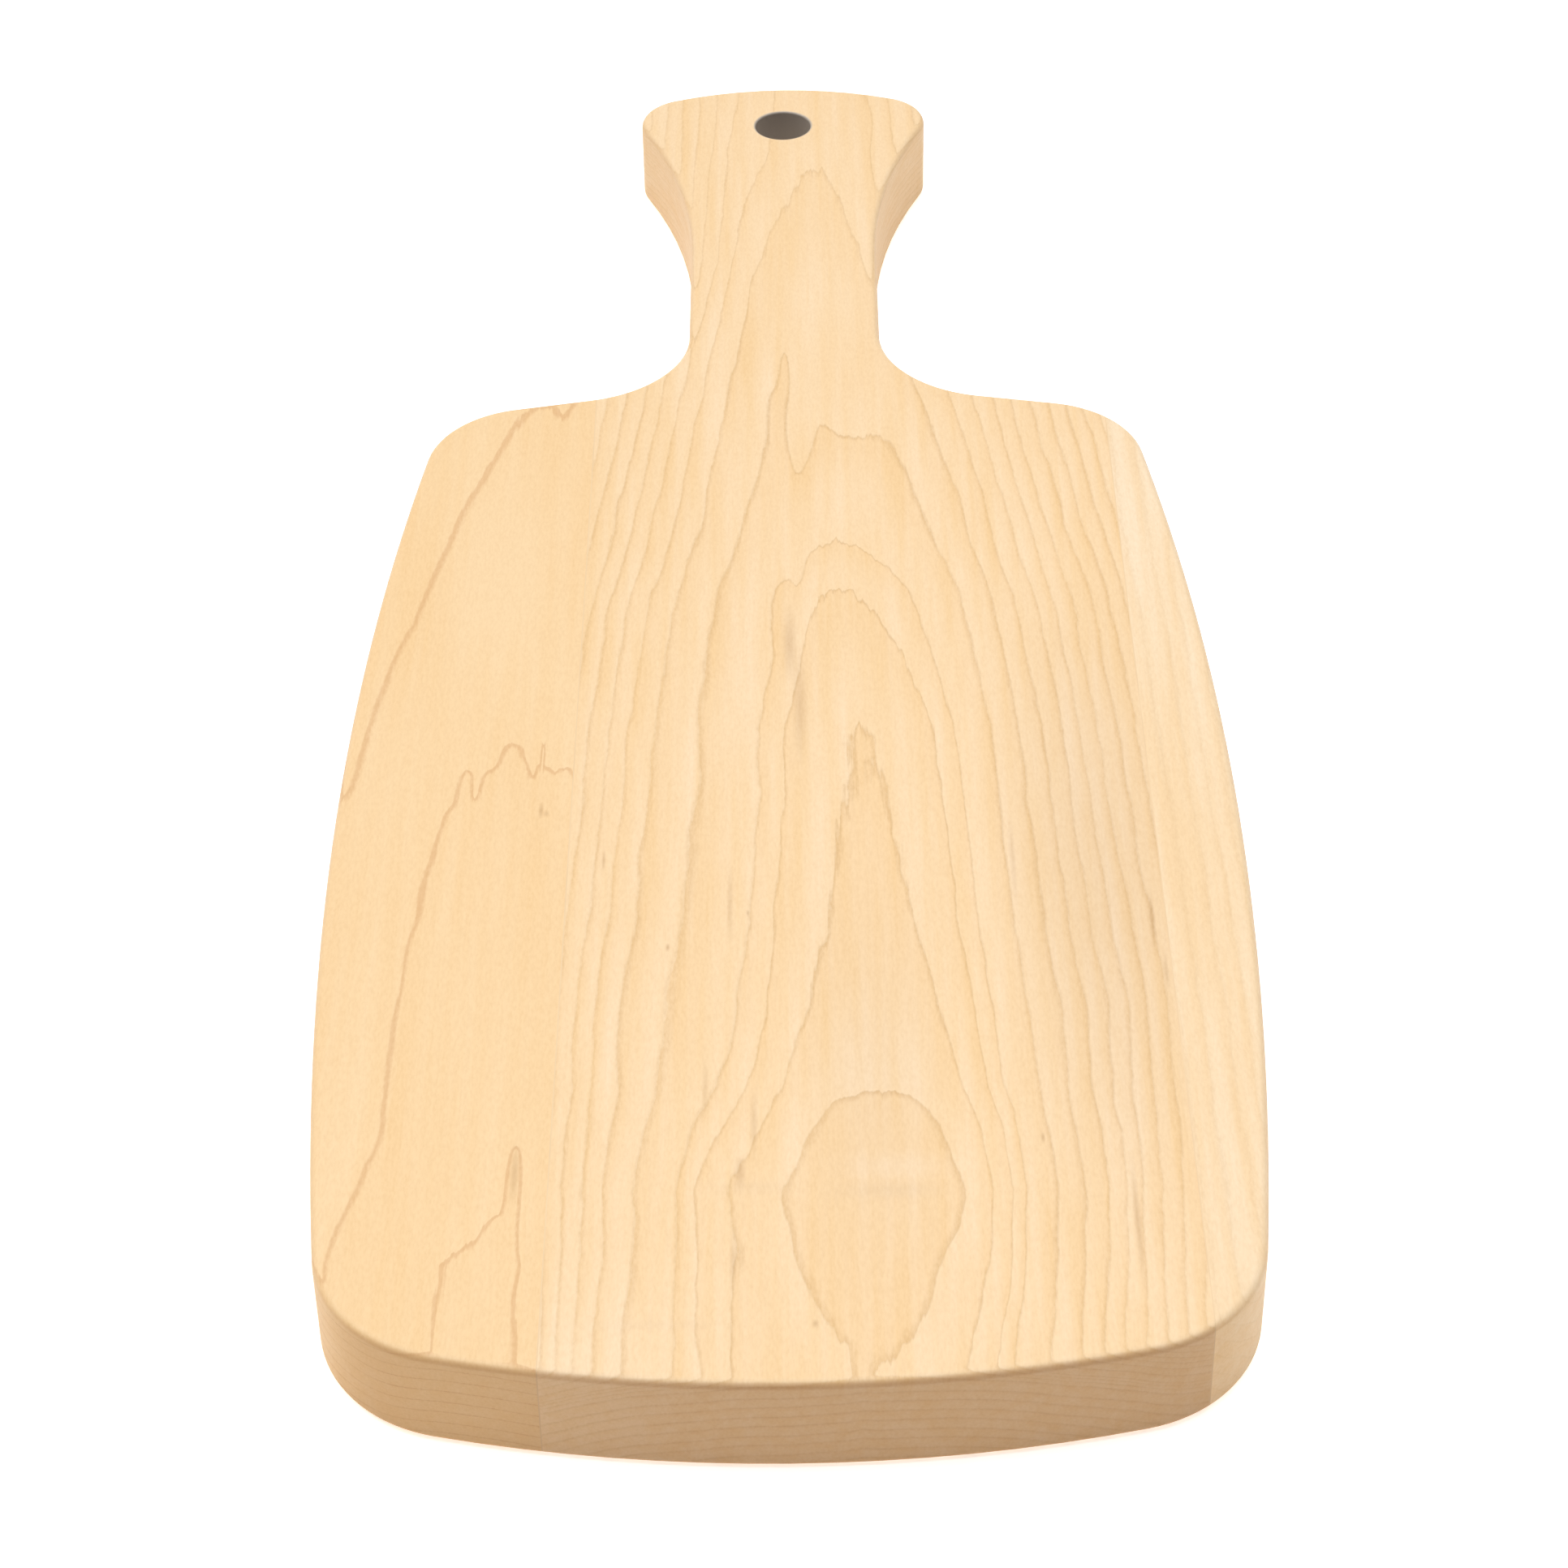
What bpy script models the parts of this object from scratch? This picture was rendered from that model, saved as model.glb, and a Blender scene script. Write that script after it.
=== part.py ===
"""Paddle-shaped cutting board: three staves of hard maple glued edge to edge.

The board lies flat. Its underside is the plane z = 0, its handle points to +Y, and X runs across it.
The middle stave carries the neck and the handle, so no joint crosses the handle. A side stave is
glued to each of its long edges, with a thin film of glue in each joint. The handle has a plain
drilled hole to hang the board by. All lengths in this file are in metres.
"""
from math import atan2, cos, hypot, pi, radians, sin, sqrt

import bmesh
import bpy

MM = 0.001

# Overall size.
LENGTH = 412.75 * MM
WIDTH = 165.1 * MM
THICKNESS = 19.05 * MM

# Edges of the blade, the broad part of the board.
FRONT_RADIUS = 250 * MM
FRONT_CORNER_RADIUS = 26 * MM
SIDE_RADIUS = 907 * MM
WIDEST_Y = -75 * MM
SHOULDER_CORNER_RADIUS = 21.5 * MM
SHOULDER_ANGLE = radians(11.5)
# Where the two straight shoulders would meet on the centre line.
SHOULDER_PEAK_Y = 81.6 * MM

# Neck and handle.
NECK_WIDTH = 40.8 * MM
NECK_FILLET_RADIUS = 25.5 * MM
FLARE_RADIUS = 137.5 * MM
FLARE_START_Y = 131.6 * MM
END_CORNER_RADIUS = 11.1 * MM
END_RADIUS = 72 * MM

# Rounded edge all the way round, on both faces.
EDGE_RADIUS = 1.5 * MM
EDGE_STEPS = 6

# Hanging hole through the handle, with a lightly eased rim.
HOLE_RADIUS = 6.35 * MM
HOLE_Y = 188.4 * MM
RIM_RADIUS = 0.5 * MM
RIM_STEPS = 4
HOLE_SEGMENTS = 96
CUTTER_OVERRUN = 3 * MM

# Joints between the staves.
GLUE_THICKNESS = 0.2 * MM
LEFT_JOINT_X = -39.4 * MM
RIGHT_JOINT_X = 66.7 * MM

# Longest step along an arc, and the largest turn in one step.
ARC_STEP = 7 * MM
ARC_TURN = radians(4)
SAME_POINT = 0.001 * MM

MAPLE_COLOUR = (0.930, 0.680, 0.400, 1.0)
GLUE_COLOUR = (0.820, 0.580, 0.330, 1.0)


def make_material(name, colour, roughness):
    made = bpy.data.materials.new(name)
    made.use_nodes = True
    shader = made.node_tree.nodes["Principled BSDF"]
    shader.inputs["Base Color"].default_value = colour
    shader.inputs["Roughness"].default_value = roughness
    made.diffuse_color = colour
    return made


def circle_meeting(first, first_radius, second, second_radius):
    """The point where two circles meet, to the right of the line from the first to the second."""
    dx = second[0] - first[0]
    dy = second[1] - first[1]
    gap = hypot(dx, dy)
    along = (first_radius ** 2 - second_radius ** 2 + gap ** 2) / (2 * gap)
    across = sqrt(first_radius ** 2 - along ** 2)
    return (first[0] + (along * dx + across * dy) / gap,
            first[1] + (along * dy - across * dx) / gap)


def bearing(centre, point):
    return atan2(point[1] - centre[1], point[0] - centre[0])


def arc(centre, radius, start, end, bulge=1):
    """Points along an arc, each with its outward normal; bulge is -1 where the edge is hollow."""
    turn = end - start
    steps = max(3, round(abs(turn) * radius / ARC_STEP), round(abs(turn) / ARC_TURN))
    points = []
    for step in range(steps + 1):
        angle = start + turn * step / steps
        nx = cos(angle)
        ny = sin(angle)
        points.append((centre[0] + radius * nx, centre[1] + radius * ny, bulge * nx, bulge * ny))
    return points


def right_half_outline():
    """The edge from the middle of the front, round the right side, to the tip of the handle.

    Front, side, shoulder, neck, flare and handle end follow each other. Arcs round the corners
    between them and fill the corner at the neck. The neck runs straight into the flare.
    """
    front = (0.0, FRONT_RADIUS - LENGTH / 2)
    side = (WIDTH / 2 - SIDE_RADIUS, WIDEST_Y)
    flare = (NECK_WIDTH / 2 + FLARE_RADIUS, FLARE_START_Y)
    end = (0.0, LENGTH / 2 - END_RADIUS)
    front_corner = circle_meeting(side, SIDE_RADIUS - FRONT_CORNER_RADIUS,
                                  front, FRONT_RADIUS - FRONT_CORNER_RADIUS)
    end_corner = circle_meeting(flare, FLARE_RADIUS + END_CORNER_RADIUS,
                                end, END_RADIUS - END_CORNER_RADIUS)

    # The shoulder is a straight line at the distance peak from the origin, along its normal (sx, sy).
    sx = sin(SHOULDER_ANGLE)
    sy = cos(SHOULDER_ANGLE)
    peak = SHOULDER_PEAK_Y * sy
    inset = peak - SHOULDER_CORNER_RADIUS - sx * side[0] - sy * side[1]
    reach = sqrt((SIDE_RADIUS - SHOULDER_CORNER_RADIUS) ** 2 - inset ** 2)
    shoulder_corner = (side[0] + inset * sx + reach * sy, side[1] + inset * sy - reach * sx)
    fillet_x = NECK_WIDTH / 2 + NECK_FILLET_RADIUS
    neck_fillet = (fillet_x, (peak + NECK_FILLET_RADIUS - sx * fillet_x) / sy)

    front_turn = bearing(front, front_corner)
    side_low = bearing(side, front_corner)
    side_high = bearing(side, shoulder_corner)
    shoulder_turn = pi / 2 - SHOULDER_ANGLE
    flare_turn = bearing(flare, end_corner)
    end_turn = bearing(end, end_corner)
    arcs = [
        arc(front, FRONT_RADIUS, -pi / 2, front_turn),
        arc(front_corner, FRONT_CORNER_RADIUS, front_turn, side_low),
        arc(side, SIDE_RADIUS, side_low, side_high),
        arc(shoulder_corner, SHOULDER_CORNER_RADIUS, side_high, shoulder_turn),
        arc(neck_fillet, NECK_FILLET_RADIUS, shoulder_turn - pi, -pi, bulge=-1),
        arc(flare, FLARE_RADIUS, pi, flare_turn, bulge=-1),
        arc(end_corner, END_CORNER_RADIUS, flare_turn - pi, end_turn),
        arc(end, END_RADIUS, end_turn, pi / 2),
    ]
    outline = []
    for points in arcs:
        for point in points:
            if not outline or hypot(point[0] - outline[-1][0], point[1] - outline[-1][1]) > SAME_POINT:
                outline.append(point)
    return outline


def whole_outline():
    """The board's edge seen from above, anticlockwise from the middle of the front."""
    right = right_half_outline()
    left = [(-x, y, -nx, ny) for x, y, nx, ny in reversed(right[1:-1])]
    return right + left


def edge_profile():
    """How far each ring of the board's edge is set in, and its height, from the underside up."""
    lower = []
    for step in range(EDGE_STEPS + 1):
        turn = pi / 2 * step / EDGE_STEPS
        lower.append((EDGE_RADIUS * (1 - sin(turn)), EDGE_RADIUS * (1 - cos(turn))))
    upper = [(inset, THICKNESS - height) for inset, height in reversed(lower)]
    return lower + upper


def add_walls(shape, rings):
    """Smooth walls between rings of vertices that run anticlockwise and are stacked upwards."""
    for lower, upper in zip(rings, rings[1:]):
        for index in range(len(lower)):
            after = (index + 1) % len(lower)
            wall = shape.faces.new((lower[index], lower[after], upper[after], upper[index]))
            wall.smooth = True


def cut_away(shape, x, side):
    """Removes what lies beyond the plane at x, on the side +1 or -1, and closes the cut flat."""
    everything = shape.verts[:] + shape.edges[:] + shape.faces[:]
    result = bmesh.ops.bisect_plane(shape, geom=everything, dist=SAME_POINT, plane_co=(x, 0, 0),
                                    plane_no=(side, 0, 0), clear_outer=True)
    rim = [item for item in result["geom_cut"] if isinstance(item, bmesh.types.BMEdge)]
    bmesh.ops.edgeloop_fill(shape, edges=rim)


def make_object(name, shape, finish=None):
    bmesh.ops.recalc_face_normals(shape, faces=shape.faces[:])
    mesh = bpy.data.meshes.new(name)
    shape.to_mesh(mesh)
    shape.free()
    if finish:
        mesh.materials.append(finish)
    made = bpy.data.objects.new(name, mesh)
    bpy.context.scene.collection.objects.link(made)
    return made


def make_strip(name, finish, low_x=None, high_x=None):
    """The part of the board between two upright planes; None leaves the board's own edge."""
    shape = bmesh.new()
    rings = []
    for inset, height in edge_profile():
        rings.append([shape.verts.new((x - inset * nx, y - inset * ny, height))
                      for x, y, nx, ny in whole_outline()])
    shape.faces.new(reversed(rings[0]))
    shape.faces.new(rings[-1])
    add_walls(shape, rings)
    if low_x is not None:
        cut_away(shape, low_x, -1)
    if high_x is not None:
        cut_away(shape, high_x, 1)
    return make_object(name, shape, finish)


def make_hole_cutter():
    """A spool with the hole's radius, opening out at both faces to leave an eased rim."""
    lower = [(HOLE_RADIUS + RIM_RADIUS, -CUTTER_OVERRUN)]
    for step in range(RIM_STEPS + 1):
        turn = pi / 2 * step / RIM_STEPS
        lower.append((HOLE_RADIUS + RIM_RADIUS * (1 - sin(turn)), RIM_RADIUS * (1 - cos(turn))))
    upper = [(radius, THICKNESS - height) for radius, height in reversed(lower)]
    shape = bmesh.new()
    rings = []
    for radius, height in lower + upper:
        ring = []
        for segment in range(HOLE_SEGMENTS):
            angle = 2 * pi * segment / HOLE_SEGMENTS
            ring.append(shape.verts.new((radius * cos(angle), HOLE_Y + radius * sin(angle), height)))
        rings.append(ring)
    shape.faces.new(reversed(rings[0]))
    shape.faces.new(rings[-1])
    add_walls(shape, rings)
    cutter = make_object("hanging_hole_cutter", shape)
    cutter.display_type = "WIRE"
    cutter.hide_render = True
    return cutter


def drill(stave, cutter):
    hole = stave.modifiers.new("hanging_hole", "BOOLEAN")
    hole.operation = "DIFFERENCE"
    hole.solver = "EXACT"
    hole.object = cutter


for old in list(bpy.data.objects):
    bpy.data.objects.remove(old, do_unlink=True)

maple = make_material("hard_maple", MAPLE_COLOUR, 0.55)
glue = make_material("wood_glue", GLUE_COLOUR, 0.45)
half_glue = GLUE_THICKNESS / 2

make_strip("left_stave", maple, high_x=LEFT_JOINT_X - half_glue)
make_strip("left_glue_line", glue, LEFT_JOINT_X - half_glue, LEFT_JOINT_X + half_glue)
centre_stave = make_strip("centre_stave", maple, LEFT_JOINT_X + half_glue, RIGHT_JOINT_X - half_glue)
make_strip("right_glue_line", glue, RIGHT_JOINT_X - half_glue, RIGHT_JOINT_X + half_glue)
make_strip("right_stave", maple, low_x=RIGHT_JOINT_X + half_glue)
drill(centre_stave, make_hole_cutter())
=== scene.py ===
"""Looks of a paddle-shaped maple cutting board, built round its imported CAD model.

Each stave is remade from its CAD node as clean faces with smooth rounded edges, and cut out of a
log of its own in the material: growth rings are near-cylinders round a pith below the board, so one
field of radii gives the cathedral arches on the face, the straight lines along the edges and the
arcs in the end grain. Lengths in the materials are in millimetres, everywhere else in metres.
"""

from dataclasses import dataclass
from math import radians

import bmesh
import bpy
from mathutils import Euler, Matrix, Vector


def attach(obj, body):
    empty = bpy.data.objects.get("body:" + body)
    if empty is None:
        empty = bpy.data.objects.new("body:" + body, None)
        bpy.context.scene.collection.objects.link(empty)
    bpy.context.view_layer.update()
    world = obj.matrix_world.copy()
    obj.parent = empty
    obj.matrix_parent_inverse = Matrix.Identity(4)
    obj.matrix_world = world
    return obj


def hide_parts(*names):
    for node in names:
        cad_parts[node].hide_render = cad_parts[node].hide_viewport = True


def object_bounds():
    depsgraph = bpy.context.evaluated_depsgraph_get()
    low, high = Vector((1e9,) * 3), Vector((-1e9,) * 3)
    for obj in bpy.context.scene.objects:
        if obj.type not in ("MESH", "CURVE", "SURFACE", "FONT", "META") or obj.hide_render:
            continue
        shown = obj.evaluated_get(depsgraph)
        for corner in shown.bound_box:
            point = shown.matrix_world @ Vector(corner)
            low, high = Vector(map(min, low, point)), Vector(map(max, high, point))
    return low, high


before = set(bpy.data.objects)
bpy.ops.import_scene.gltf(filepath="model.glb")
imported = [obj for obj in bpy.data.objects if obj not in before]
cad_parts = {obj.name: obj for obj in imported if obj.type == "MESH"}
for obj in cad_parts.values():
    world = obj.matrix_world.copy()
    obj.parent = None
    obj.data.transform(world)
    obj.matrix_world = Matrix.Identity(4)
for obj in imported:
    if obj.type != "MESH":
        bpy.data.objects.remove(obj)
cad_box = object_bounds()

MM = 0.001
BODY = "root"

# The board's top face and hanging hole, in millimetres, for the materials.
TOP_Z = cad_box[1].z / MM
HOLE_Y = 188.4
HOLE_RADIUS = 6.35


# ---------------------------------------------------------------- shader arithmetic

class Value:
    """A socket in a shader graph. Arithmetic on it adds Math nodes to the graph."""

    def __init__(self, graph, socket):
        self.graph = graph
        self.socket = socket

    def __add__(self, other):
        return self.graph.math("ADD", self, other)

    def __radd__(self, other):
        return self.graph.math("ADD", other, self)

    def __sub__(self, other):
        return self.graph.math("SUBTRACT", self, other)

    def __rsub__(self, other):
        return self.graph.math("SUBTRACT", other, self)

    def __mul__(self, other):
        return self.graph.math("MULTIPLY", self, other)

    def __rmul__(self, other):
        return self.graph.math("MULTIPLY", other, self)

    def __truediv__(self, other):
        return self.graph.math("DIVIDE", self, other)

    def squared(self):
        return self.graph.math("MULTIPLY", self, self)

    def root(self):
        return self.graph.math("SQRT", self)

    def size(self):
        return self.graph.math("ABSOLUTE", self)

    def sign(self):
        return self.graph.math("SIGN", self)

    def fraction(self):
        return self.graph.math("FRACT", self)


class Graph:
    """The node tree of one material, with short calls that add nodes to it."""

    def __init__(self, name):
        self.material = bpy.data.materials.new(name)
        self.material.use_nodes = True
        self.tree = self.material.node_tree
        self.tree.nodes.clear()

    def node(self, kind):
        return self.tree.nodes.new(kind)

    def feed(self, socket, value):
        """Links a Value to the socket, or sets the plain number, colour or vector on it."""
        if isinstance(value, Value):
            self.tree.links.new(value.socket, socket)
        else:
            socket.default_value = value

    def math(self, operation, first, second=0.0):
        made = self.node("ShaderNodeMath")
        made.operation = operation
        self.feed(made.inputs[0], first)
        self.feed(made.inputs[1], second)
        return Value(self, made.outputs[0])

    def ramp(self, value, low, high, at_low=0.0, at_high=1.0):
        """Goes smoothly from at_low to at_high while value goes from low to high, and stays there."""
        made = self.node("ShaderNodeMapRange")
        made.interpolation_type = "SMOOTHSTEP"
        for name, given in (("Value", value), ("From Min", low), ("From Max", high),
                            ("To Min", at_low), ("To Max", at_high)):
            self.feed(made.inputs[name], given)
        return Value(self, made.outputs["Result"])

    def bump_at(self, value, centre, width):
        """One at centre, falling smoothly to nothing at a distance of width."""
        return self.ramp((value - centre).size(), 0.0, width, 1.0, 0.0)

    def curve(self, value, points, straight=False):
        """Straight lines through (value, result) points, which run on past the ends if straight."""
        low, high = points[0][0], points[-1][0]
        least = min(result for _, result in points)
        most = max(result for _, result in points)
        made = self.node("ShaderNodeFloatCurve")
        made.mapping.extend = "EXTRAPOLATED" if straight else "HORIZONTAL"
        made.mapping.use_clip = False
        line = made.mapping.curves[0]
        while len(line.points) < len(points):
            line.points.new(0.5, 0.5)
        for spot, (at, result) in zip(line.points, points):
            spot.location = ((at - low) / (high - low), (result - least) / (most - least))
            spot.handle_type = "VECTOR"
        made.mapping.update()
        self.feed(made.inputs["Value"], (value - low) * (1.0 / (high - low)))
        return Value(self, made.outputs[0]) * (most - least) + least

    def place(self):
        """X, Y and Z of the shaded point in the board's frame, in millimetres."""
        made = self.node("ShaderNodeSeparateXYZ")
        self.tree.links.new(self.node("ShaderNodeTexCoord").outputs["Object"], made.inputs[0])
        return [Value(self, output) * (1.0 / MM) for output in made.outputs]

    def facing(self):
        """X, Y and Z of the way the surface faces, before any bump."""
        made = self.node("ShaderNodeSeparateXYZ")
        self.tree.links.new(self.node("ShaderNodeNewGeometry").outputs["Normal"], made.inputs[0])
        return [Value(self, output) for output in made.outputs]

    def grain_noise(self, place, pattern, shift=0.0):
        """Noise from -1 to 1 of the given pattern, which is stretched along Y."""
        across, along, detail, offset = pattern
        spot = self.node("ShaderNodeCombineXYZ")
        x, y, z = place
        self.feed(spot.inputs[0], (x + (shift + offset)) * (1.0 / across))
        self.feed(spot.inputs[1], y * (1.0 / along))
        self.feed(spot.inputs[2], z * (1.0 / across))
        made = self.node("ShaderNodeTexNoise")
        made.inputs["Scale"].default_value = 1.0
        made.inputs["Detail"].default_value = detail
        made.inputs["Roughness"].default_value = 0.55
        self.tree.links.new(spot.outputs[0], made.inputs["Vector"])
        return (Value(self, made.outputs[0]) - 0.5) * 2.0

    def blend(self, first, second, share):
        """The first colour where share is 0, the second where it is 1."""
        made = self.node("ShaderNodeMix")
        made.data_type = "RGBA"
        made.clamp_factor = True
        self.feed(made.inputs["Factor"], share)
        self.feed(made.inputs[6], first)
        self.feed(made.inputs[7], second)
        return Value(self, made.outputs[2])

    def tint(self, colour, tone, share):
        """The colour multiplied by the tone, as far as share says."""
        made = self.node("ShaderNodeMix")
        made.data_type = "RGBA"
        made.blend_type = "MULTIPLY"
        made.clamp_factor = True
        self.feed(made.inputs["Factor"], share)
        self.feed(made.inputs[6], colour)
        self.feed(made.inputs[7], tone)
        return Value(self, made.outputs[2])

    def finish(self, colour, roughness, height):
        """The shader itself: a colour, a roughness, and a height in millimetres for fine relief."""
        shader = self.node("ShaderNodeBsdfPrincipled")
        relief = self.node("ShaderNodeBump")
        relief.inputs["Strength"].default_value = 1.0
        relief.inputs["Distance"].default_value = MM
        self.feed(relief.inputs["Height"], height)
        self.feed(shader.inputs["Base Color"], colour)
        self.feed(shader.inputs["Roughness"], roughness)
        self.tree.links.new(relief.outputs[0], shader.inputs["Normal"])
        output = self.node("ShaderNodeOutputMaterial")
        self.tree.links.new(shader.outputs[0], output.inputs["Surface"])
        return self.material


# ---------------------------------------------------------------- wood

# Noise patterns: how many millimetres their features are across and along the grain, how detailed
# they are, and an offset that keeps them apart from each other.
RIPPLE = (9.0, 22.0, 2.0, 0.0)
JITTER = (1.4, 4.0, 2.0, 40.0)
FIBRE = (1.1, 20.0, 2.0, 60.0)
WANDER = (3.0, 7.0, 2.0, 70.0)
FADING = (7.0, 40.0, 2.0, 80.0)
PORES = (0.45, 1.3, 2.0, 31.0)
COARSE = (2.6, 60.0, 3.0, 11.0)
FINE = (0.5, 9.0, 3.0, 23.0)
FLECKS = (0.8, 3.2, 1.0, 57.0)
GLUE_PATCHES = (6.0, 14.0, 2.0, 5.0)
GLUE_GRAINS = (0.3, 2.0, 2.0, 9.0)

# Multipliers that turn the plain wood's colour into its darker marks.
LINE_TONE = (0.860, 0.815, 0.745, 1.0)
LATEWOOD_TONE = (0.990, 0.972, 0.945, 1.0)
STREAK_TONE = (0.930, 0.890, 0.830, 1.0)
STAIN_TONE = (0.910, 0.910, 0.940, 1.0)
FLECK_TONE = (0.640, 0.540, 0.440, 1.0)
WALL_TONE = (0.850, 0.765, 0.640, 1.0)
END_TONE = (0.740, 0.698, 0.695, 1.0)
EDGE_TONE = (0.960, 0.900, 0.830, 1.0)

# Colour that the hanging hole's bare wall is blended towards: painted shade, the dark grey-brown it
# shows deep in the hole.
HOLE_SHADE_COLOUR = (0.470, 0.425, 0.380, 1.0)

GLUE_COLOUR = (0.830, 0.590, 0.345, 1.0)
GLUE_PALE = (0.900, 0.660, 0.400, 1.0)

# How far the inner rings keep to their own centre, and where the outer rings' centre takes over.
INNER_REACH = 14.0
OUTER_REACH = 38.0

# How fast the radius changes along the surface, at the least, because the fibres aren't straight.
FIBRE_SLOPE = 0.045

# How far a ring line fades out on its side towards the pith, where it starts and where it ends, and
# how far on its other side. WALL_SHARPNESS is how much narrower lines are on the board's edges.
SOFT_SIDE = (-0.1, 1.2)
SHARP_SIDE = 0.6
WALL_SHARPNESS = 1.8

# Added to the count of rings, so that it stays above nothing close to the pith too.
FIRST_RING = 50.0

# Along Y, where the lines begin to fade towards the handle and where they have faded.
HANDLE_FADE = (90.0, 140.0)


@dataclass
class Log:
    """The log that a stave was sawn from, in millimetres in the board's frame.

    pith_x and pith_depth follow the pith along Y: its X, and its depth under the board's top face.
    outer_x is the X that the outer rings are centred on. rings are the outer radii of the growth
    rings, from the inside out, and spacing is the usual width of those that reach the top face.
    The rings are thicker or thinner along Y by the factors in swell, and the ring whose radius is
    pivot keeps its place. slope is about how fast the radius rises along Y, which is only used for
    the breadth of the lines.

    The next four are soft ovals, each given as X, Y, half its width, half its length and its amount.
    swirls add their amount to the radius, which draws the ring lines in towards the pith, or pushes
    them out where it is negative. marks are small dark flecks, stains are dark patches, and figure
    is patches of paler wood, or of darker where the amount is negative.

    ragged is how far the ring lines stray sideways, contrast is how strong they are, line_tone is
    their colour, banding is how much each ring darkens outwards, and end_share is how much the end
    grain darkens. shift moves the noise patterns, so that no two logs are alike.
    """
    name: str
    shift: float
    colour: tuple
    pale: tuple
    pith_x: tuple
    outer_x: float
    pith_depth: tuple
    rings: tuple
    spacing: float
    swell: tuple = ((-206.0, 1.0), (206.0, 1.001))
    pivot: float = 0.0
    slope: float = 0.03
    swirls: tuple = ()
    marks: tuple = ()
    stains: tuple = ()
    figure: tuple = ()
    ragged: float = 0.25
    contrast: float = 1.0
    line_tone: tuple = LINE_TONE
    banding: float = 1.0
    end_share: float = 1.0


def spots(graph, place, listed):
    """The sum of soft ovals, each given as X, Y, half width, half length and amount."""
    x, y, _ = place
    total = 0.0
    for at_x, at_y, half_width, half_length, amount in listed:
        spot = graph.bump_at(x, at_x, half_width) * graph.bump_at(y, at_y, half_length)
        total = spot * amount + total
    return total


def swirls(graph, place, listed):
    """The same sum, and about how fast it rises along X and along Y."""
    x, y, _ = place
    push, along_x, along_y = 0.0, 0.0, 0.0
    for at_x, at_y, half_width, half_length, amount in listed:
        wide = graph.bump_at(x, at_x, half_width)
        long = graph.bump_at(y, at_y, half_length)
        push = wide * long * amount + push
        side_x = (x - at_x).sign() * wide * (1.0 - wide)
        side_y = (y - at_y).sign() * long * (1.0 - long)
        along_x = side_x * long * (-6.0 * amount / half_width) + along_x
        along_y = side_y * wide * (-6.0 * amount / half_length) + along_y
    return push, along_x, along_y


def ring_radius(graph, log, place):
    """Distance from the pith, and how fast it changes across the surface that is shaded."""
    x, y, z = place
    ripple = graph.grain_noise(place, RIPPLE, log.shift) * 1.2
    jitter = graph.grain_noise(place, JITTER, log.shift) * log.ragged
    bent_x = x + ripple + jitter
    inner = graph.ramp((x - log.outer_x).size(), INNER_REACH, OUTER_REACH, 1.0, 0.0)
    centre = (graph.curve(y, log.pith_x) - log.outer_x) * inner + log.outer_x
    across = bent_x - centre
    depth = graph.curve(y, log.pith_depth) + (z - TOP_Z)
    radius = (across.squared() + depth.squared()).root()

    # In the surface, the radius changes by the part of its gradient that isn't along the normal.
    push, push_x, push_y = swirls(graph, place, log.swirls)
    gradient = (across / radius + push_x, graph.math("ADD", push_y, log.slope), depth / radius)
    normal = graph.facing()
    through = gradient[0] * normal[0] + gradient[1] * normal[1] + gradient[2] * normal[2]
    length = gradient[0].squared() + gradient[1].squared() + gradient[2].squared()
    inside = graph.math("MAXIMUM", length - through.squared(), 0.0)
    rate = (inside + FIBRE_SLOPE ** 2).root()

    fibre = graph.grain_noise(place, FIBRE, log.shift) * (log.ragged * 0.28)
    wander = graph.grain_noise(place, WANDER, log.shift) * (log.ragged * 0.18)
    radius = radius + fibre + wander + push
    radius = (radius - log.pivot) / graph.curve(y, log.swell) + log.pivot
    return radius, rate


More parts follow.
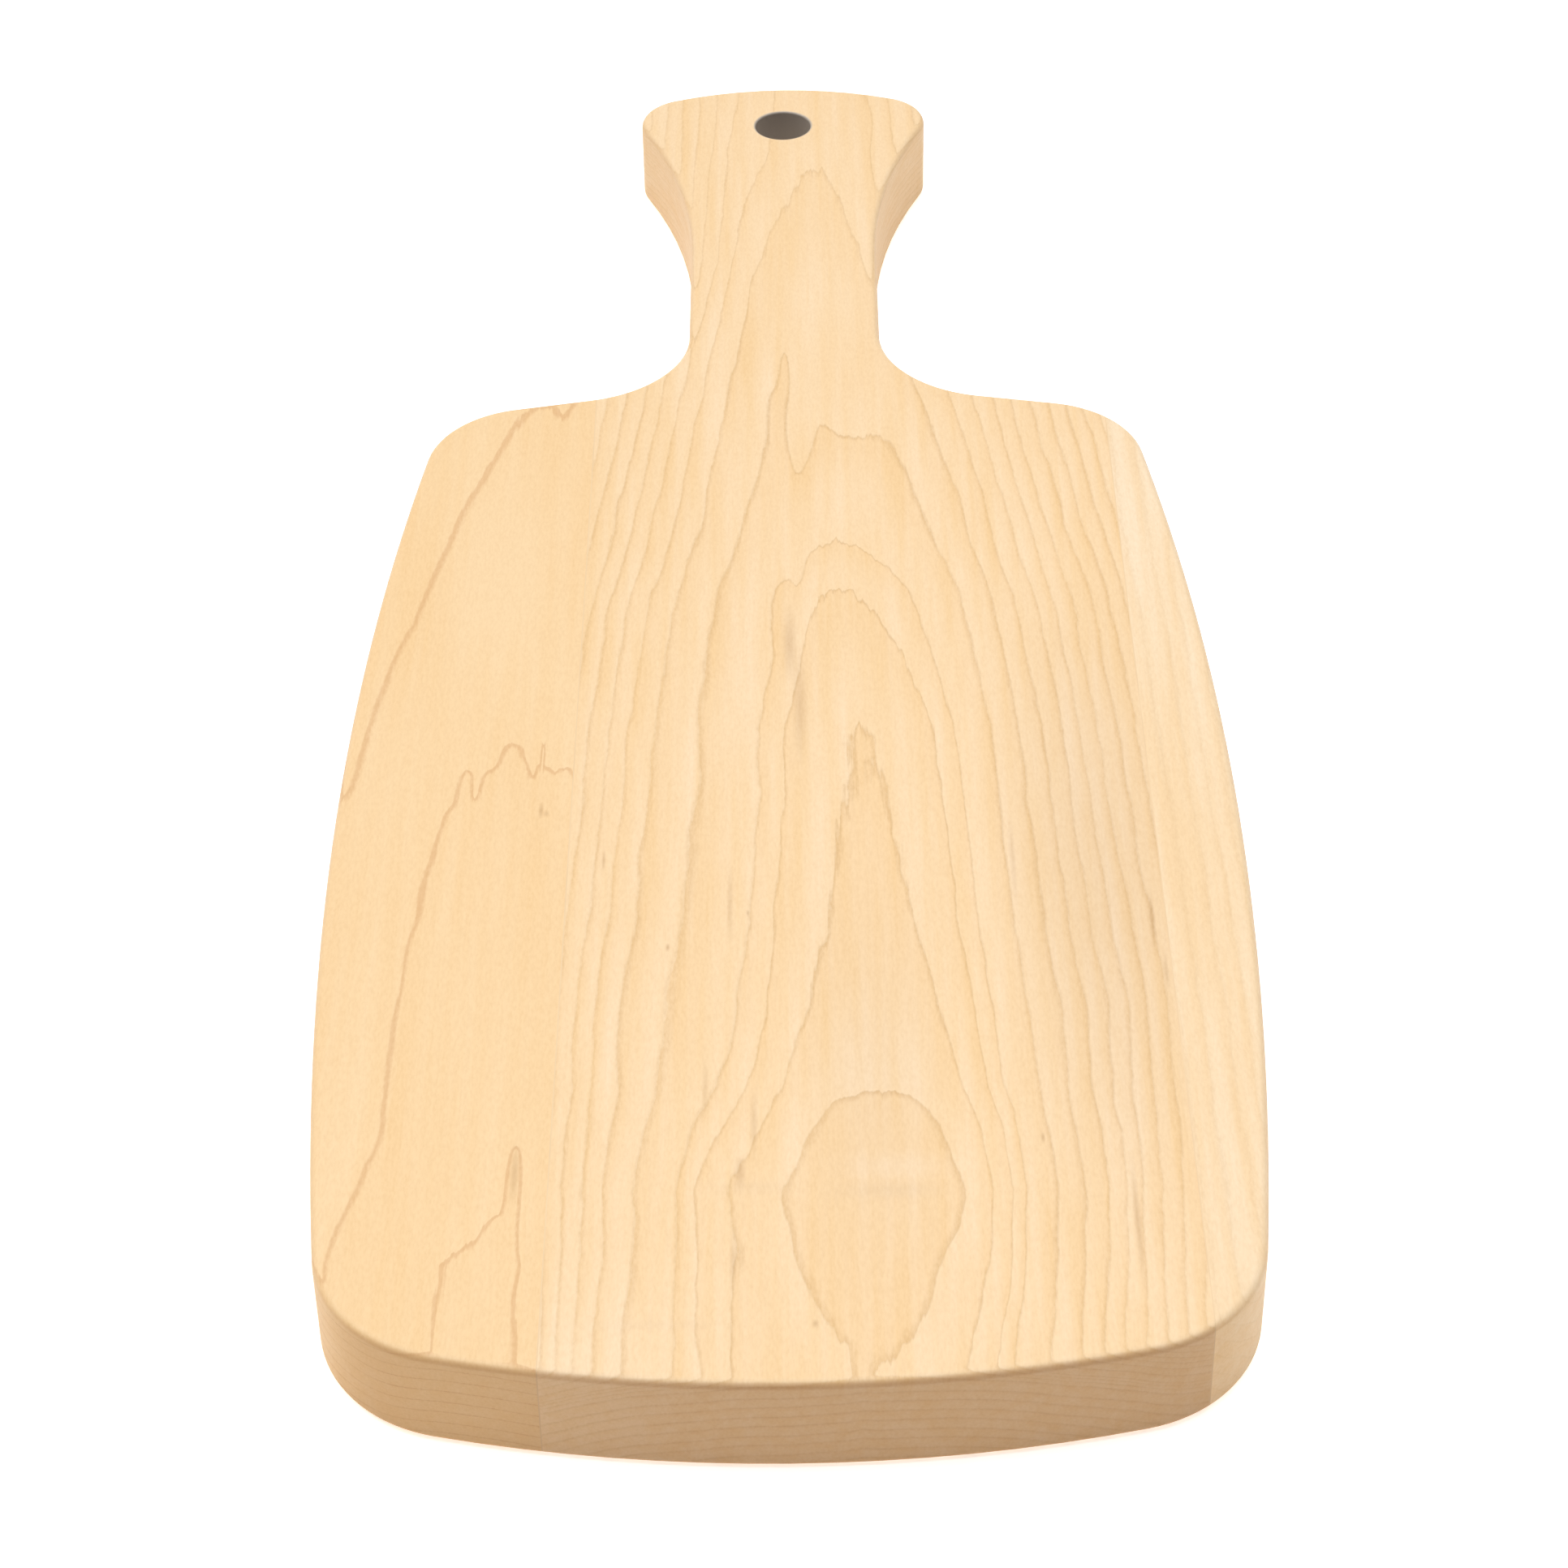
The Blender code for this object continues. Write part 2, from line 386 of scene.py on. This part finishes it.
def wood(log):
    """Planed and sanded hard maple, cut from the given log."""
    graph = Graph(log.name + "_maple")
    place = graph.place()
    x, y, _ = place
    _, face_y, face_z = graph.facing()
    end_grain = graph.ramp(face_y.size(), 0.35, 0.9)
    wall = graph.ramp(face_z.size(), 0.9, 0.3)
    radius, rate = ring_radius(graph, log, place)

    # Count of rings from the pith outwards. A whole number is the dark line that ends a ring, and
    # the fraction of a ring before or after it is turned into millimetres along the surface.
    steps = [(ring, float(count)) for count, ring in enumerate(log.rings)]
    count = graph.curve(radius, steps, straight=True)
    through_ring = (count + FIRST_RING).fraction()
    pores = graph.grain_noise(place, PORES, log.shift)
    before_line = (1.0 - through_ring) * log.spacing / rate * (wall * WALL_SHARPNESS + 1.0)
    after_line = through_ring * log.spacing / rate * (wall * WALL_SHARPNESS + 1.0)

    # The line is sharp outwards and soft towards the pith, and its strength wanders along it.
    faintness = graph.math("MINIMUM", rate, 0.35)
    boldness = graph.grain_noise(place, FADING, log.shift) * 0.5 + 0.92 - faintness
    line = graph.math("MAXIMUM", graph.ramp(before_line, *SOFT_SIDE, 1.0, 0.0),
                      graph.ramp(after_line, 0.0, SHARP_SIDE, 1.0, 0.0))
    strength = 1.0 - graph.ramp(y, *HANDLE_FADE) * 0.3
    line = line * (boldness + pores * 0.35) * strength * (1.0 - end_grain * 0.2) * log.contrast
    latewood = graph.ramp(through_ring, 0.2, 1.0) * strength * (1.0 - wall * 0.5) * log.banding

    coarse = graph.grain_noise(place, COARSE, log.shift)
    fine = graph.grain_noise(place, FINE, log.shift)
    flecks = graph.ramp(graph.grain_noise(place, FLECKS, log.shift), 0.60, 0.85)

    figure = spots(graph, place, log.figure)
    colour = graph.blend(log.pale, log.colour, latewood * 0.25 + coarse + 0.45 - figure)
    colour = graph.tint(colour, STAIN_TONE, spots(graph, place, log.stains))
    colour = graph.tint(colour, LATEWOOD_TONE, latewood)
    colour = graph.tint(colour, STREAK_TONE, graph.ramp(fine, -0.4, 0.9) * 0.30)
    colour = graph.tint(colour, STREAK_TONE, graph.ramp(pores, -0.6, 0.8) * 0.9)
    colour = graph.tint(colour, log.line_tone, line)
    colour = graph.tint(colour, FLECK_TONE, flecks * 0.3 + spots(graph, place, log.marks))

    # Walls are tinted darker and warmer than the faces, and end grain, which drinks more finish,
    # darker still.
    # Towards the board's left side the end grain is darkened less: painted light, as the light falls
    # from the left.
    # The rounds are rubbed a little smoother, and their colour is darkened a little, most on the end
    # grain.
    colour = graph.tint(colour, WALL_TONE, wall)
    # Painted light: the end grain is darkened less towards the board's left side, where the light
    # falls from.
    share = graph.ramp(x, -60.0, -15.0, 0.63, 1.0) * log.end_share
    colour = graph.tint(colour, END_TONE, end_grain * share)
    rounded = graph.ramp(face_z.size(), 0.98, 0.75) * graph.ramp(face_z.size(), 0.05, 0.3)
    colour = graph.tint(colour, EDGE_TONE, rounded * (end_grain * 0.8 + 0.1))

    # Painted shade on the wall of the hanging hole, which is end grain and flat grain: the bare wood
    # is blended towards a dark grey-brown, as it looks deep in shade.
    from_axis = (x.squared() + (y - HOLE_Y).squared()).root()
    hole_shade = graph.ramp(from_axis, HOLE_RADIUS + 0.7, HOLE_RADIUS + 0.1)
    colour = graph.blend(colour, HOLE_SHADE_COLOUR, hole_shade * 0.9)

    height = coarse * 0.002 + fine * 0.004 + pores * 0.003 - flecks * 0.003
    roughness = fine * 0.05 + pores * 0.05 + 0.56 + end_grain * 0.12 - rounded * 0.10
    return graph.finish(colour, roughness, height)


def glue():
    """Dried wood glue, sanded flush: a film almost as pale as the wood."""
    graph = Graph("dried_glue")
    place = graph.place()
    patches = graph.grain_noise(place, GLUE_PATCHES)
    grains = graph.grain_noise(place, GLUE_GRAINS)
    colour = graph.blend(GLUE_COLOUR, GLUE_PALE, patches + 0.5)
    colour = graph.tint(colour, STREAK_TONE, graph.ramp(grains, 0.0, 0.9) * 0.4)
    _, face_y, face_z = graph.facing()
    colour = graph.tint(colour, WALL_TONE, graph.ramp(face_z.size(), 0.9, 0.3))
    colour = graph.tint(colour, END_TONE, graph.ramp(face_y.size(), 0.35, 0.9))
    roughness = grains * 0.06 + 0.48
    return graph.finish(colour, roughness, grains * 0.004)


CENTRE_LOG = Log(
    "centre_stave",
    shift=0.0,
    colour=(0.925, 0.660, 0.365, 1.0),
    pale=(0.960, 0.735, 0.485, 1.0),
    pith_x=((-206.0, 13.0), (-165.0, 14.3), (-120.0, 14.75), (-60.0, 14.5), (-20.0, 12.0),
            (0.0, 11.0), (50.0, 9.2), (120.0, 6.0), (206.0, 6.5)),
    outer_x=9.0,
    pith_depth=((-206.0, 121.4), (-198.0, 121.2), (-180.0, 120.65), (-164.0, 120.3),
                (-150.0, 120.48), (-140.0, 120.76), (-120.0, 120.85), (-100.0, 121.28),
                (-60.0, 121.74), (-40.0, 121.87), (3.0, 122.8), (18.5, 123.54), (50.0, 124.43),
                (88.0, 125.35), (130.0, 126.16), (168.0, 126.6), (206.0, 127.2)),
    rings=(97.5, 100.0, 102.6, 104.8, 107.3, 109.4, 111.8, 114.0, 116.3, 118.4, 120.96, 121.96, 122.8,
           123.45, 125.05, 126.6, 127.8, 128.95, 130.1, 131.3, 132.7, 134.1, 135.5),
    spacing=1.7,
    swell=((-206.0, 0.94), (-165.0, 0.94), (-120.0, 1.12), (-60.0, 1.035), (0.0, 1.0),
           (50.0, 0.91), (85.0, 0.85), (120.0, 0.6), (160.0, 0.65), (206.0, 0.75)),
    pivot=126.6,
    slope=0.022,
    swirls=((12.0, 72.0, 12.0, 40.0, 0.8), (3.2, 54.0, 5.2, 30.0, 0.78), (2.7, 47.0, 1.7, 12.0, 0.16),
            (-2.0, 70.0, 4.0, 18.0, -0.25), (-0.2, 84.0, 2.4, 16.0, -0.32),
            (2.5, 6.0, 3.0, 16.0, 0.3), (-3.0, -24.0, 9.5, 26.0, 0.3),
            (15.0, -46.0, 3.0, 10.0, -0.06), (8.0, -146.0, 5.0, 9.0, -0.12),
            (21.0, -146.0, 6.0, 9.0, -0.12), (-13.0, -166.0, 11.0, 40.0, -0.5),
            (26.5, -182.0, 6.5, 11.0, 0.35), (-4.0, 176.0, 10.0, 36.0, 0.33),
            (20.0, 194.0, 8.0, 28.0, -0.35), (-24.0, -210.0, 28.0, 44.0, -1.35),
            (-8.0, -204.0, 9.0, 28.0, -0.5), (11.3, -205.0, 2.6, 9.0, -0.3)),
    marks=((0.7, -14.0, 1.9, 15.0, 0.45), (2.6, -34.0, 1.9, 22.0, 0.4),
           (-21.0, -103.0, 0.5, 1.4, 0.6), (-7.0, -94.0, 0.4, 1.2, 0.6),
           (42.0, -152.0, 0.5, 1.8, 0.6), (4.0, -193.5, 0.8, 1.2, 0.6),
           (-10.2, -92.0, 0.8, 14.0, 0.35), (-14.0, -139.0, 0.8, 9.0, 0.3),
           (-5.8, -148.0, 0.9, 11.0, 0.35), (-8.0, -159.5, 1.3, 5.0, 0.45),
           (-9.0, -180.0, 0.8, 9.0, 0.4), (-33.0, -79.0, 0.5, 4.0, 0.5),
           (40.5, -80.0, 0.8, 16.0, 0.3), (64.2, -97.0, 0.7, 10.0, 0.45),
           (65.6, -111.0, 0.6, 6.0, 0.4), (56.2, -172.0, 0.8, 18.0, 0.5)),
    stains=((56.0, -85.0, 24.0, 110.0, 0.8), (14.0, -136.0, 17.0, 72.0, 0.42),
            (17.0, -164.0, 14.0, 3.0, 0.5), (-6.0, -163.0, 11.0, 2.5, 0.35),
            (-22.0, -193.5, 20.0, 2.0, 0.3)),
    figure=((18.0, -158.5, 15.0, 5.0, 0.5), (-34.0, -206.0, 24.0, 28.0, 0.35)),
)

LEFT_LOG = Log(
    "left_stave",
    shift=130.0,
    colour=(0.922, 0.645, 0.345, 1.0),
    pale=(0.941, 0.690, 0.407, 1.0),
    pith_x=((-206.0, -49.7), (80.0, -49.3)),
    outer_x=-49.5,
    pith_depth=((-206.0, 99.75), (-180.0, 99.82), (-174.0, 100.05), (-165.0, 100.6),
                (-152.0, 101.15), (-103.0, 101.4), (-66.0, 102.0), (-50.0, 102.85),
                (-30.0, 103.5), (-10.0, 104.5), (2.0, 105.0), (25.0, 105.85), (48.0, 106.65),
                (60.5, 106.94), (65.0, 107.05), (73.0, 107.28)),
    rings=(78.3, 80.7, 83.2, 85.5, 88.0, 90.3, 92.8, 95.2, 97.6, 100.0, 102.8, 107.15, 111.5, 115.5),
    spacing=3.8,
    slope=0.030,
    swirls=((-45.0, -160.0, 2.2, 16.0, -2.05), (-46.5, -173.0, 4.5, 13.0, -0.55),
            (-59.4, -54.5, 2.4, 11.0, -0.33), (-57.1, -60.0, 1.8, 9.0, 0.28),
            (-51.2, -46.0, 3.6, 10.0, -0.2), (-47.0, -54.5, 1.5, 8.0, 0.2),
            (-45.3, -48.5, 0.55, 7.0, -0.45), (-40.2, -54.0, 3.0, 12.0, -0.3),
            (-40.0, 72.0, 6.0, 36.0, -0.7), (-46.6, 68.0, 2.4, 8.0, 0.10),
            (-64.0, -194.0, 9.0, 26.0, 0.6)),
    marks=((-44.9, -64.5, 0.6, 3.0, 0.6), (-43.9, -65.4, 0.8, 1.3, 0.4),
           (-45.0, -159.0, 1.1, 9.0, 0.5)),
    figure=((-57.0, 12.0, 16.0, 56.0, 0.65), (-77.0, 25.0, 14.0, 80.0, -0.45),
            (-66.0, -190.0, 14.0, 36.0, -0.4)),
    ragged=0.24,
    contrast=1.75,
    line_tone=(0.880, 0.800, 0.740, 1.0),
    banding=0.3,
)

RIGHT_LOG = Log(
    "right_stave",
    shift=260.0,
    colour=(0.930, 0.685, 0.410, 1.0),
    pale=(0.965, 0.775, 0.550, 1.0),
    pith_x=((-206.0, 14.8), (80.0, 15.2)),
    outer_x=15.0,
    pith_depth=((-206.0, 53.6), (-130.0, 54.2), (-40.0, 55.6), (20.0, 57.0), (80.0, 58.2)),
    rings=(60.0, 62.6, 65.2, 67.7, 70.2, 72.6, 75.0, 77.8, 81.0, 83.5, 86.0, 88.5),
    spacing=2.6,
    figure=((74.0, -85.0, 14.0, 62.0, -0.42), (72.0, 30.0, 12.0, 60.0, 0.25)),
    slope=0.030,
    contrast=0.4,
    banding=0.4,
    end_share=0.3,
)


# ---------------------------------------------------------------- pieces

SAME_SPOT = 0.002 * MM
SAME_PLANE = radians(0.05)
CORNER = radians(30.0)


def add_piece(node, material):
    """A clean copy of a CAD node: its vertices welded, each flat part one face, rounds smooth."""
    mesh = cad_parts[node].data.copy()
    mesh.name = node + "_surface"
    while mesh.attributes.get("custom_normal"):
        mesh.attributes.remove(mesh.attributes["custom_normal"])
    work = bmesh.new()
    work.from_mesh(mesh)
    bmesh.ops.remove_doubles(work, verts=work.verts[:], dist=SAME_SPOT)
    bmesh.ops.dissolve_limit(work, angle_limit=SAME_PLANE, verts=work.verts[:], edges=work.edges[:])
    work.to_mesh(mesh)
    work.free()
    mesh.materials.clear()
    mesh.materials.append(material)
    mesh.shade_smooth()
    mesh.set_sharp_from_angle(angle=CORNER)
    piece = bpy.data.objects.new(node + "_finished", mesh)
    bpy.context.scene.collection.objects.link(piece)
    flat = piece.modifiers.new("flat_faces_stay_flat", "WEIGHTED_NORMAL")
    flat.keep_sharp = True
    flat.weight = 100
    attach(piece, BODY)
    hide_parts(node)
    return piece


add_piece("centre_stave", wood(CENTRE_LOG))
add_piece("left_stave", wood(LEFT_LOG))
add_piece("right_stave", wood(RIGHT_LOG))
glue_material = glue()
add_piece("left_glue_line", glue_material)
add_piece("right_glue_line", glue_material)


# ---------------------------------------------------------------- studio

FLOOR_SIZE = 60.0
FLOOR_GLOW = 0.50
FLOOR_GAP = 0.1 * MM

# Where the camera stands, in millimetres, and how it points, in degrees: 0 tilt is straight down.
CAMERA_PLACE = (3.7, -623.8, 470.6)
CAMERA_TILT = 51.43
CAMERA_TURN = 0.425
CAMERA_ROLL = -0.962
CAMERA_LENS = 90.37


def add_floor():
    """A plain pale floor, wide enough to fill every view."""
    floor_material = bpy.data.materials.new("studio_floor")
    floor_material.use_nodes = True
    shader = floor_material.node_tree.nodes["Principled BSDF"]
    shader.inputs["Base Color"].default_value = (0.97, 0.97, 0.97, 1.0)
    shader.inputs["Roughness"].default_value = 0.9
    shader.inputs["Emission Color"].default_value = (1.0, 1.0, 1.0, 1.0)
    shader.inputs["Emission Strength"].default_value = FLOOR_GLOW
    mesh = bpy.data.meshes.new("studio_floor")
    half = FLOOR_SIZE / 2
    low = cad_box[0].z - FLOOR_GAP
    mesh.from_pydata([(-half, -half, low), (half, -half, low), (half, half, low), (-half, half, low)],
                     [], [(0, 1, 2, 3)])
    mesh.materials.append(floor_material)
    floor = bpy.data.objects.new("studio_floor", mesh)
    bpy.context.scene.collection.objects.link(floor)


def add_softbox(name, azimuth, elevation, strength, spread):
    """A distant soft light. Azimuth 0 is the board's front end, and more is towards its right."""
    light = bpy.data.lights.new(name, "SUN")
    light.energy = strength
    light.angle = radians(spread)
    lamp = bpy.data.objects.new(name, light)
    lamp.rotation_euler = Euler((radians(90.0 - elevation), 0.0, radians(azimuth)), "XYZ")
    bpy.context.scene.collection.objects.link(lamp)


def add_fill(strength):
    """Faint even light from all round, in front of a white backdrop."""
    world = bpy.data.worlds.new("studio")
    world.use_nodes = True
    tree = world.node_tree
    fill = tree.nodes["Background"]
    fill.inputs["Color"].default_value = (1.0, 1.0, 1.0, 1.0)
    fill.inputs["Strength"].default_value = strength
    backdrop = tree.nodes.new("ShaderNodeBackground")
    backdrop.inputs["Color"].default_value = (1.0, 1.0, 1.0, 1.0)
    seen = tree.nodes.new("ShaderNodeLightPath")
    either = tree.nodes.new("ShaderNodeMixShader")
    tree.links.new(seen.outputs["Is Camera Ray"], either.inputs[0])
    tree.links.new(fill.outputs[0], either.inputs[1])
    tree.links.new(backdrop.outputs[0], either.inputs[2])
    tree.links.new(either.outputs[0], tree.nodes["World Output"].inputs["Surface"])
    bpy.context.scene.world = world


def add_camera():
    """Looks down on the board from its front end, from close to its middle line."""
    lens = bpy.data.cameras.new("camera")
    lens.lens = CAMERA_LENS
    lens.sensor_width = 36.0
    camera = bpy.data.objects.new("camera", lens)
    camera.location = Vector(CAMERA_PLACE) * MM
    turn = Euler((radians(CAMERA_TILT), 0.0, radians(CAMERA_TURN)), "XYZ").to_matrix()
    roll = Euler((0.0, 0.0, radians(CAMERA_ROLL)), "XYZ").to_matrix()
    camera.rotation_euler = (turn @ roll).to_euler()
    bpy.context.scene.collection.objects.link(camera)
    bpy.context.scene.camera = camera


add_floor()
add_softbox("left_light", azimuth=-115.0, elevation=68.0, strength=2.12, spread=60.0)
add_softbox("right_light", azimuth=120.0, elevation=68.0, strength=1.28, spread=60.0)
add_fill(0.1)
add_camera()
bpy.context.scene.view_settings.view_transform = "Standard"
